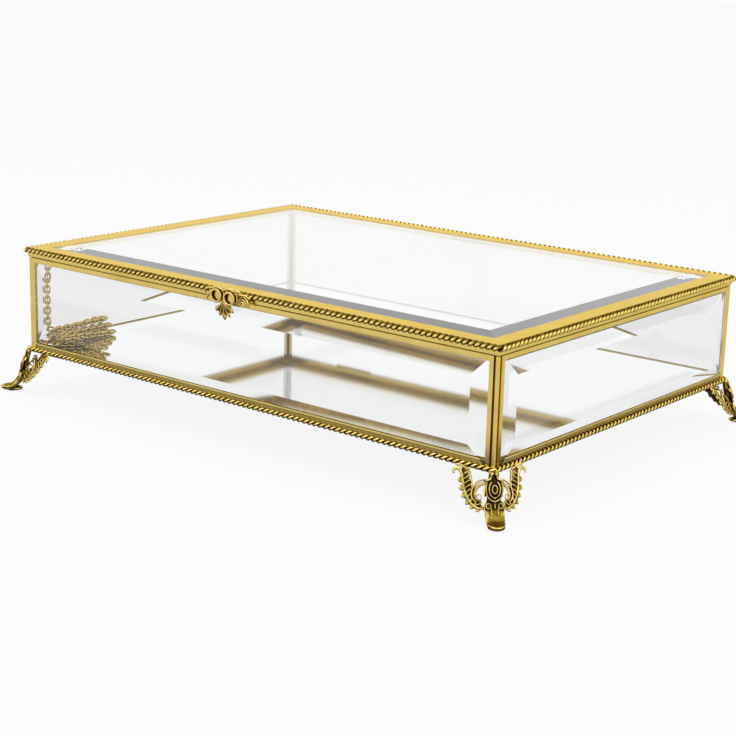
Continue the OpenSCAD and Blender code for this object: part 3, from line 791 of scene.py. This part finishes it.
def hoop(centre, across, up, half_w, half_h, wide, thick, turn=(0.0, 360.0)):
    """A round bar along the ellipse centre + across * half_w * cos(a) + up * half_h * sin(a), whole or
    from one angle to another in degrees; wide is half the bar across its plane and thick half the bar
    along its normal."""
    across, up = np.asarray(across, float), np.asarray(up, float)
    normal = np.cross(across, up)
    a = np.radians(np.linspace(turn[0], turn[1], 33))
    ring = np.asarray(centre) + np.cos(a)[:, None] * half_w * across + np.sin(a)[:, None] * half_h * up
    if turn[1] - turn[0] < 360:
        size = np.tile([wide, thick], (len(a), 1))
        return leaf(np.hstack([ring, size]), normal, step=0.25)
    ring = ring[:-1]
    along = np.roll(ring, -1, 0) - np.roll(ring, 1, 0)
    along /= np.linalg.norm(along, axis=1, keepdims=True)
    side = np.cross(along, normal)
    b = np.linspace(0, 2 * math.pi, 12, endpoint=False)[None, :, None]
    skin = ring[:, None] + side[:, None] * np.cos(b) * wide + normal * np.sin(b) * thick
    return grid_part(skin, wrap_u=True, wrap_v=True)


def bead(centre, radii):
    """A ball stretched along X, Y and Z: the centre plus the unit ball times its three radii."""
    t = np.linspace(0.06, math.pi - 0.06, 9)[:, None]
    p = np.linspace(0, 2 * math.pi, 14, endpoint=False)[None, :]
    ball = np.stack([np.sin(t) * np.cos(p), np.sin(t) * np.sin(p), np.cos(t) + 0 * p], axis=-1)
    return grid_part(np.asarray(centre) + ball * np.asarray(radii), wrap_v=True, cap_u=True)


def slab(low, high):
    """A plain box between two corners."""
    x0, y0, z0 = low
    x1, y1, z1 = high
    points = np.array([(x, y, z) for x in (x0, x1) for y in (y0, y1) for z in (z0, z1)], float)
    return points, [(0, 1, 3, 2), (4, 6, 7, 5), (0, 4, 5, 1), (2, 3, 7, 6), (0, 2, 6, 4), (1, 5, 7, 3)]


def cast(parts, voxel):
    """Melts closed parts into one skin: points in millimetres, faces and a relief value for each
    point.  The relief is how far a point lies outside the skin smoothed by averaging neighbours,
    stretched so that hollows come to 0, plain skin to about a third and ridges to 1."""
    rough = make_piece("melt", joined(parts), sharp=180)
    remesh = rough.modifiers.new("melt", "REMESH")
    remesh.mode, remesh.voxel_size, remesh.adaptivity = "VOXEL", voxel * MM, 0.0
    mesh = bpy.data.meshes.new_from_object(rough.evaluated_get(bpy.context.evaluated_depsgraph_get()))
    old = rough.data
    bpy.data.objects.remove(rough)
    bpy.data.meshes.remove(old)
    points = read_rows(mesh.vertices, "co", 3) / MM
    normals = read_rows(mesh.vertices, "normal", 3)
    edges = read_rows(mesh.edges, "vertices", 2, np.int64)
    faces = [tuple(p.vertices) for p in mesh.polygons]
    bpy.data.meshes.remove(mesh)
    if not faces:
        raise RuntimeError("the casting came out empty")
    count = np.bincount(edges.ravel(), minlength=len(points))[:, None]

    def blurred(values, times):
        for _ in range(times):
            total = np.zeros_like(values)
            for k in range(values.shape[1]):
                total[:, k] = np.bincount(edges[:, 0], values[edges[:, 1], k], len(values))
                total[:, k] += np.bincount(edges[:, 1], values[edges[:, 0], k], len(values))
            values = (values + total) / (count + 1)
        return values

    skin = blurred(points, 2)
    fine = ((skin - blurred(skin, 10)) * normals).sum(axis=1) / voxel
    broad = ((skin - blurred(skin, 60)) * normals).sum(axis=1) / voxel
    relief = blurred((fine * 2.0 + broad)[:, None], 1)[:, 0]
    hollow, ridge = np.percentile(relief, (6, 82))
    stretched = np.where(relief > 0, (1 - PLAIN_SKIN) * relief / ridge, -PLAIN_SKIN * relief / hollow)
    return skin, faces, np.clip(PLAIN_SKIN + stretched, 0, 1)


# A foot is drawn with its leg along +X, which points out of the box's corner, and stands on z = 0.
# Its wing leans back by 29 degrees and is swept back from the leg by 30.5 degrees.  The wing's own
# axes point out along the frond, up and forward.
WING_ROOT = np.array([2.5, 2.5, 11.0])
WING_OUT = np.array([-0.508, 0.861, 0.0])
WING_UP = np.array([-0.418, -0.246, 0.875])
WING_FRONT = np.array([0.753, 0.444, 0.485])


def wing_parts():
    """The acanthus frond, its rim and volute, the tip above, the inner edge, veins and lobes, and the
    arched scroll beside the leg with its own rim, curl and stems."""
    parts = []

    def both(*keys):
        """A leaf on each of a foot's two wings, drawn in the wing's own plane: each key is out from the
        root, up, forward, half width and half thickness."""
        k = np.asarray(keys, float)
        place = WING_ROOT + k[:, :1] * WING_OUT + k[:, 1:2] * WING_UP + k[:, 2:3] * WING_FRONT
        for mirror in (np.array([1, 1, 1]), np.array([1, -1, 1])):
            parts.append(leaf(np.hstack([place * mirror, k[:, 3:]]), WING_FRONT * mirror))

    both((1.6, -3.9, -0.2, 0.9, 0.5), (4.2, -3.1, -0.2, 1.1, 0.5), (6.4, -1.9, -0.2, 1.3, 0.5),
         (8.2, -0.1, -0.2, 1.4, 0.5), (9.6, 2.4, -0.2, 1.6, 0.5), (10.8, 5.4, -0.1, 1.85, 0.5),
         (12.0, 8.4, 0.0, 1.75, 0.5), (12.9, 10.6, 0.1, 1.5, 0.5), (13.2, 12.0, 0.1, 1.1, 0.4))
    both((1.0, -4.6, 0.4, 0.45, 0.5), (3.6, -4.4, 0.5, 0.5, 0.5), (5.7, -3.6, 0.5, 0.55, 0.5),
         (7.7, -2.1, 0.5, 0.55, 0.5), (9.6, 0.1, 0.5, 0.6, 0.5), (11.3, 3.0, 0.5, 0.6, 0.5),
         (12.6, 6.2, 0.5, 0.6, 0.5), (13.6, 8.8, 0.6, 0.7, 0.55), (14.9, 10.6, 0.7, 0.8, 0.55),
         (16.4, 11.1, 0.8, 0.85, 0.5), (17.5, 10.2, 0.9, 0.8, 0.5), (17.3, 9.0, 0.9, 0.6, 0.4))
    both((11.8, 11.6, 0.4, 0.6, 0.4), (13.8, 12.5, 0.6, 0.75, 0.4), (15.8, 12.8, 0.9, 0.6, 0.4),
         (17.4, 12.6, 1.1, 0.3, 0.3))
    both((11.0, 11.6, 0.1, 0.3, 0.5), (10.0, 9.8, 0.1, 0.3, 0.5), (9.0, 7.4, 0.1, 0.3, 0.5),
         (8.2, 4.9, 0.1, 0.3, 0.5), (8.3, 2.6, 0.0, 0.3, 0.5))
    for up in np.linspace(-2.6, 8.6, 7):
        inner = np.interp(up + 2.3, [-2.5, 0.5, 4.8, 7.5, 10.4, 12], [5.4, 7.6, 8.3, 9.1, 10.4, 11.2])
        outer = np.interp(up, [-3.6, -2.1, 0.1, 3.0, 6.2, 9.2], [5.4, 7.3, 9.2, 10.9, 12.2, 13.3])
        both((outer, up, 0.5, 0.3, 0.3), ((inner + outer) / 2 + 0.25, up + 1.0, 0.7, 0.3, 0.3),
             (inner, up + 2.3, 0.3, 0.2, 0.3))
    for a, b, da, db in ((3.2, -4.4, 0.1, -1.0), (5.4, -3.6, 0.8, -1.0), (7.6, -2.1, 1.1, -0.9),
                         (9.6, 0.2, 1.35, -0.5), (11.3, 3.0, 1.5, -0.2), (12.6, 6.2, 1.5, 0.2)):
        both((a, b, 0.1, 0.9, 0.5), (a + 0.55 * da, b + 0.55 * db, 0.2, 1.3, 0.6),
             (a + da, b + db, 0.3, 1.0, 0.5))
        both((a + 1.1, b + 0.9, 0.1, 0.6, 0.5),
             (a + 1.0 + 0.6 * da, b + 0.9 + 0.5 * db, 0.2, 0.5, 0.45))
    both((1.6, 7.6, 0.5, 0.3, 0.4), (3.0, 8.0, 0.7, 0.42, 0.45), (4.8, 7.4, 0.8, 0.45, 0.45),
         (6.5, 5.7, 0.8, 0.45, 0.45), (7.4, 3.4, 0.8, 0.42, 0.45), (7.4, 1.0, 0.7, 0.4, 0.4),
         (6.4, -1.0, 0.6, 0.36, 0.4), (4.6, -2.2, 0.5, 0.3, 0.4))
    both((1.6, 6.4, 0.0, 0.6, 0.5), (3.2, 6.6, 0.0, 0.8, 0.5), (5.0, 5.4, 0.0, 0.85, 0.5),
         (6.2, 3.4, 0.0, 0.85, 0.5), (6.2, 1.0, 0.0, 0.8, 0.5), (5.0, -0.7, 0.0, 0.8, 0.5),
         (3.0, -1.8, 0.0, 0.9, 0.5))
    both((4.9, 0.6, 0.6, 0.25, 0.3), (4.4, 1.2, 0.9, 0.3, 0.35), (3.4, 1.2, 1.0, 0.3, 0.35),
         (2.6, 0.3, 1.0, 0.3, 0.35), (2.8, -0.8, 0.9, 0.28, 0.35), (3.7, -1.2, 0.7, 0.25, 0.3))
    both((2.2, 4.6, 0.6, 0.5, 0.4), (1.6, 2.9, 0.9, 0.5, 0.5), (1.2, 1.0, 1.0, 0.45, 0.5))
    both((2.0, -2.0, 0.8, 0.3, 0.4), (3.4, -3.1, 0.8, 0.3, 0.35), (5.0, -2.9, 0.7, 0.25, 0.3))
    return parts


def leg_parts():
    """The cabriole leg on the diagonal: neck, oval shield, scroll eyes, plain shin and slipper toe."""
    across, parts = (0, 1, 0), []

    def sided(keys, normal=(0.9, 0.0, 0.4)):
        """A leaf and its mirror image across the leg."""
        for side in (1, -1):
            k = np.asarray(keys, float) * np.array([1, side, 1, 1, 1])
            parts.append(leaf(k, normal))

    # The leg from the bracket to the toe, then the toe's rim, its sole and the ridges of the shin
    parts.append(leaf([(0.9, 0, 22.0, 2.2, 1.1), (1.0, 0, 20.4, 2.3, 1.1), (1.6, 0, 18.6, 3.0, 1.2),
                       (2.4, 0, 16.2, 3.2, 1.5), (3.0, 0, 13.9, 3.2, 1.7), (3.2, 0, 11.6, 3.0, 1.6),
                       (4.0, 0, 9.4, 3.4, 1.7), (5.4, 0, 6.9, 4.1, 1.6), (7.6, 0, 4.6, 4.2, 1.5),
                       (9.8, 0, 2.7, 4.0, 1.35), (12.0, 0, 2.3, 3.6, 1.1), (13.4, 0, 2.4, 2.9, 0.8)],
                      (1.0, 0.0, 0.9), sides=20, square=0.7))
    parts.append(hoop((11.6, 0, 2.9), (1, 0, -0.05), across, 3.5, 3.6, 0.36, 0.4, (-90, 90)))
    parts.append(hoop((11.6, 0, 1.7), (1, 0, 0.0), across, 3.3, 3.4, 0.4, 0.6, (-90, 90)))
    parts.append(leaf([(7.6, 0, 1.4, 3.2, 1.2), (10.4, 0, 1.2, 3.4, 1.2), (13.0, 0, 1.5, 2.8, 0.9)],
                      (0.0, 0.0, 1.0), sides=20))
    sided([(11.6, 3.6, 2.9, 0.36, 0.4), (9.6, 3.9, 3.5, 0.32, 0.36), (7.6, 4.1, 5.0, 0.25, 0.3)], (0, 0, 1))
    # Oval shield with its frame of leaves
    oval_up = (-0.40, 0.0, 0.92)
    parts.append(hoop((4.55, 0, 16.0), across, oval_up, 1.1, 1.75, 0.34, 0.5))
    sided([(3.4, 1.3, 19.0, 0.3, 0.4), (4.0, 2.2, 17.4, 0.36, 0.45), (4.7, 2.3, 15.4, 0.36, 0.45),
           (5.2, 1.7, 13.6, 0.34, 0.4), (5.3, 0.5, 12.6, 0.25, 0.35)])
    sided([(2.7, 3.0, 18.9, 0.45, 0.5), (3.4, 3.5, 17.2, 0.45, 0.5), (3.9, 3.5, 15.2, 0.42, 0.5),
           (4.4, 3.1, 13.4, 0.36, 0.45), (4.9, 2.5, 12.1, 0.3, 0.4)])
    sided([(2.2, 0.9, 22.1, 0.7, 0.4), (2.3, 1.3, 20.8, 0.6, 0.4), (2.7, 2.1, 19.9, 0.6, 0.45),
           (2.8, 3.4, 19.5, 0.45, 0.4)])
    sided([(2.2, 3.4, 18.4, 0.8, 0.6), (2.6, 4.3, 17.6, 0.5, 0.5)])
    parts.append(leaf([(5.0, -2.4, 12.2, 0.3, 0.4), (5.7, -1.2, 11.4, 0.36, 0.45), (5.9, 0, 11.1, 0.4, 0.45),
                       (5.7, 1.2, 11.4, 0.36, 0.45), (5.0, 2.4, 12.2, 0.3, 0.4)], (0.9, 0, 0.4)))
    parts.append(bead((5.3, 0, 12.4), (0.6, 0.5, 0.6)))
    # Scroll eyes, the bar between them and the leaf tips below
    for side in (1, -1):
        parts.append(hoop((6.1, 2.65 * side, 9.1), across, (-0.45, 0, 0.89), 1.05, 1.1, 0.32, 0.5))
        parts.append(bead((6.0, 2.65 * side, 9.1), (0.5, 0.35, 0.35)))
    parts.append(leaf([(5.9, 0.1, 10.2, 0.25, 0.4), (6.7, 0.1, 8.4, 0.3, 0.45)], (0.9, 0, 0.4)))
    sided([(4.9, 3.6, 10.6, 0.4, 0.5), (5.2, 4.1, 9.0, 0.45, 0.5), (5.9, 4.2, 7.4, 0.4, 0.45),
           (7.0, 3.9, 6.2, 0.25, 0.35)])
    sided([(6.5, 1.4, 8.0, 0.3, 0.4), (7.3, 1.5, 7.0, 0.3, 0.35), (8.3, 1.3, 6.1, 0.16, 0.25)])
    sided([(6.5, 0.5, 7.7, 0.3, 0.35), (7.3, 0.5, 6.7, 0.25, 0.3), (7.9, 0.4, 6.2, 0.14, 0.22)])
    return parts


def bracket_parts():
    """Two flat plates under the cames along the box's own edges, turned into the foot's frame."""
    long, wide, thick, inset = 24.0, 3.5, 0.8, 0.1
    parts = []
    for reach_x, reach_y in ((long, wide), (wide, long)):
        points, faces = slab((inset, inset, WALL_Z - thick), (reach_x, reach_y, WALL_Z))
        x, y, z = points.T
        parts.append((np.stack([-(x + y) * DIAGONAL, (y - x) * DIAGONAL, z], axis=1), faces))
    return parts


class CASKET_OT_feet(bpy.types.Operator):
    """Casts one openwork foot and sets it, mirrored, under the four corners"""

    bl_idname = "casket.feet"
    bl_label = "Feet"

    def execute(self, context):
        points, faces, relief = cast(wing_parts() + leg_parts() + bracket_parts(), FOOT_VOXEL)
        x, y, z = points[:, 0], points[:, 1], np.maximum(points[:, 2], 0.0)
        # Painted shade: the leg between the bracket and the shin is made darker
        neck = np.clip((4.6 - np.abs(y)) / 1.2, 0, 1) * np.clip((z - 8.0) / 1.5, 0, 1)
        relief = np.clip(relief - 0.2 * neck, 0, 1)
        out_x, out_y = (x + y) * DIAGONAL, (x - y) * DIAGONAL
        for corner, (sx, sy) in CORNERS.items():
            place = np.stack([sx * (HALF_W + out_x), sy * (HALF_D + out_y), z], axis=1)
            foot = make_piece("cast_foot_" + corner, (place, faces), sharp=180)
            set_attribute(foot, "relief", relief)
            dress(foot, "casket", antique_brass(), "foot_" + corner)
        return {"FINISHED"}


# Middle of the clasp between its rings, from the middle of the front and up from the lid's lower edge
CLASP_X, CLASP_RISE = -5.65, 1.1
# The rings' middles about it, and their half width and half height
CLASP_RINGS = ((-4.25, 0.2), (4.25, -0.2))
RING_HALF_W, RING_HALF_H = 3.15, 2.85


def clasp_parts(cx, cz):
    """The clasp in the plane of the front band, about the point between its rings: two rings, a fan
    scroll on the right, a hanging leaf on the left, a crest above and a bunch of leaves below."""
    face, parts = (0.0, -1.0, 0.0), []

    def put(keys):
        """A leaf whose keys are right, up, forward, half width and half thickness."""
        k = np.asarray(keys, float)
        place = np.stack([cx + k[:, 0], -0.6 - k[:, 2], cz + k[:, 1]], axis=1)
        parts.append(leaf(np.hstack([place, k[:, 3:]]), face))

    across, up = (1, 0, 0), (0, 0, 1)
    for x, z in CLASP_RINGS:
        parts.append(hoop((cx + x, -2.2, cz + z), across, up, RING_HALF_W, RING_HALF_H, 0.42, 1.7))
        parts.append(hoop((cx + x, -3.8, cz + z), across, up, RING_HALF_W, RING_HALF_H, 0.62, 0.5))
    # The bars between the rings and beside the right one, and the fan scroll
    put([(0, 2.4, 1.6, 0.5, 0.9), (0, -2.6, 1.6, 0.5, 0.9)])
    put([(8.5, 2.2, 1.6, 0.42, 0.9), (8.6, -2.9, 1.6, 0.42, 0.9)])
    for k, reach in enumerate((3.1, 2.2, 1.3)):
        centre = (cx + 12.6, -2.4 - 0.4 * k, cz - 1.9)
        parts.append(hoop(centre, across, up, reach, 1.15 * reach, 0.42, 0.8, (-5, 185)))
    put([(9.2, 2.9, 1.8, 0.5, 0.7), (11.4, 2.5, 2.0, 0.55, 0.7), (13.8, 2.4, 1.8, 0.5, 0.6),
         (16.0, 1.2, 1.5, 0.3, 0.5)])
    # The leaves on the left, with a bead at their tip
    put([(-7.4, 2.2, 1.8, 0.6, 0.7), (-9.0, 1.2, 2.0, 0.75, 0.7), (-10.2, -0.6, 2.0, 0.65, 0.6),
         (-11.0, -2.4, 1.8, 0.3, 0.4)])
    put([(-6.8, 3.0, 1.8, 0.5, 0.7), (-9.4, 3.1, 1.8, 0.6, 0.6), (-11.6, 2.3, 1.6, 0.5, 0.5),
         (-13.2, 1.0, 1.4, 0.25, 0.4)])
    parts.append(bead((cx - 13.4, -1.0, cz + 0.6), (0.6, 0.6, 0.6)))
    # The crest
    put([(-7.6, 3.4, 1.4, 0.55, 0.9), (-4.0, 3.8, 1.7, 0.65, 0.9), (0.2, 3.4, 1.9, 0.6, 0.9)])
    put([(-0.8, 2.6, 2.2, 0.5, 0.6), (1.6, 3.9, 2.3, 0.85, 0.6), (4.6, 4.2, 2.2, 0.7, 0.6),
         (7.4, 3.6, 1.9, 0.45, 0.6)])
    put([(5.6, 3.4, 2.3, 0.4, 0.5), (8.2, 3.9, 2.2, 0.8, 0.6), (10.4, 3.6, 1.9, 0.35, 0.5)])
    # The bunch of leaves below, each with a midrib and two side veins
    for x, z, wide in ((-5.0, -7.4, 1.4), (5.9, -6.8, 1.4), (-2.4, -9.4, 1.1), (3.9, -9.2, 1.1),
                       (0.8, -11.0, 1.5)):
        put([(0.1 * x, -2.9, 1.6, 0.5, 0.7), (0.45 * x, 0.5 * z - 1.4, 2.0, 0.9 * wide, 0.7),
             (0.85 * x, 0.8 * z - 0.4, 2.1, wide, 0.65), (x, z, 1.8, 0.3, 0.4)])
        put([(0.1 * x, -3.1, 2.2, 0.2, 0.4), (0.5 * x, 0.5 * z - 1.4, 2.7, 0.24, 0.35),
             (0.95 * x, 0.93 * z, 2.4, 0.16, 0.3)])
        for side in (-1, 1):
            put([(0.55 * x, 0.6 * z - 1.0, 2.3, 0.2, 0.4),
                 (0.7 * x + side * 0.8, 0.78 * z - 0.3, 2.4, 0.3, 0.4)])
    return parts


class CASKET_OT_clasp(bpy.types.Operator):
    """Casts the clasp on the front band"""

    bl_idname = "casket.clasp"
    bl_label = "Clasp"

    def execute(self, context):
        low, high = box_mm("clasp")
        x, z = CLASP_X, LID_Z + CLASP_RISE
        points, faces, relief = cast(clasp_parts(x, z), CLASP_VOXEL)
        plates = [bead((x + dx, -2.62, z + dz), (3.3, 0.1, 3.0)) for dx, dz in CLASP_RINGS]
        points, faces = joined([(points, faces)] + plates)
        # The plates behind the rings are as bright as ridges
        relief = np.concatenate([relief, np.full(len(points) - len(relief), 0.9)])
        points = np.clip(points - [0.0, HALF_D, 0.0], low, high)
        clasp = make_piece("cast_clasp", (points, faces), sharp=180)
        set_attribute(clasp, "relief", relief)
        dress(clasp, "lid", antique_brass(), "clasp")
        return {"FINISHED"}


# ---- The add-on -----------------------------------------------------------------


class CASKET_PT_panel(bpy.types.Panel):
    """Lists the pieces of the casket and the values that shape them"""

    bl_idname = "CASKET_PT_panel"
    bl_label = "Glass casket box"
    bl_space_type = "VIEW_3D"
    bl_region_type = "UI"
    bl_category = "Casket"

    def draw(self, context):
        for key in GROUPS:
            group = getattr(context.scene, key)
            column = self.layout.column()
            for value in group.__annotations__:
                column.prop(group, value)
        for operator in OPERATORS:
            self.layout.operator(operator.bl_idname)


GROUPS = {
    "casket_stage": CasketStage,
    "casket_metal": CasketMetal,
    "casket_glass": CasketGlass,
    "casket_rope": CasketRope,
    "casket_chain": CasketChain,
}
OPERATORS = (CASKET_OT_stage, CASKET_OT_glass, CASKET_OT_cames, CASKET_OT_chain, CASKET_OT_ropes,
             CASKET_OT_feet, CASKET_OT_clasp)
CLASSES = (*GROUPS.values(), *OPERATORS, CASKET_PT_panel)


def register():
    for cls in CLASSES:
        bpy.utils.register_class(cls)
    for key, group in GROUPS.items():
        setattr(bpy.types.Scene, key, bpy.props.PointerProperty(type=group))


def unregister():
    for key in GROUPS:
        delattr(bpy.types.Scene, key)
    for cls in reversed(CLASSES):
        bpy.utils.unregister_class(cls)


def main():
    register()
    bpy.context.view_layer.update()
    bpy.ops.casket.stage()
    bpy.ops.casket.glass()
    bpy.ops.casket.cames()
    bpy.ops.casket.chain()
    bpy.ops.casket.ropes()
    bpy.ops.casket.feet()
    bpy.ops.casket.clasp()


if __name__ == "__main__":
    main()
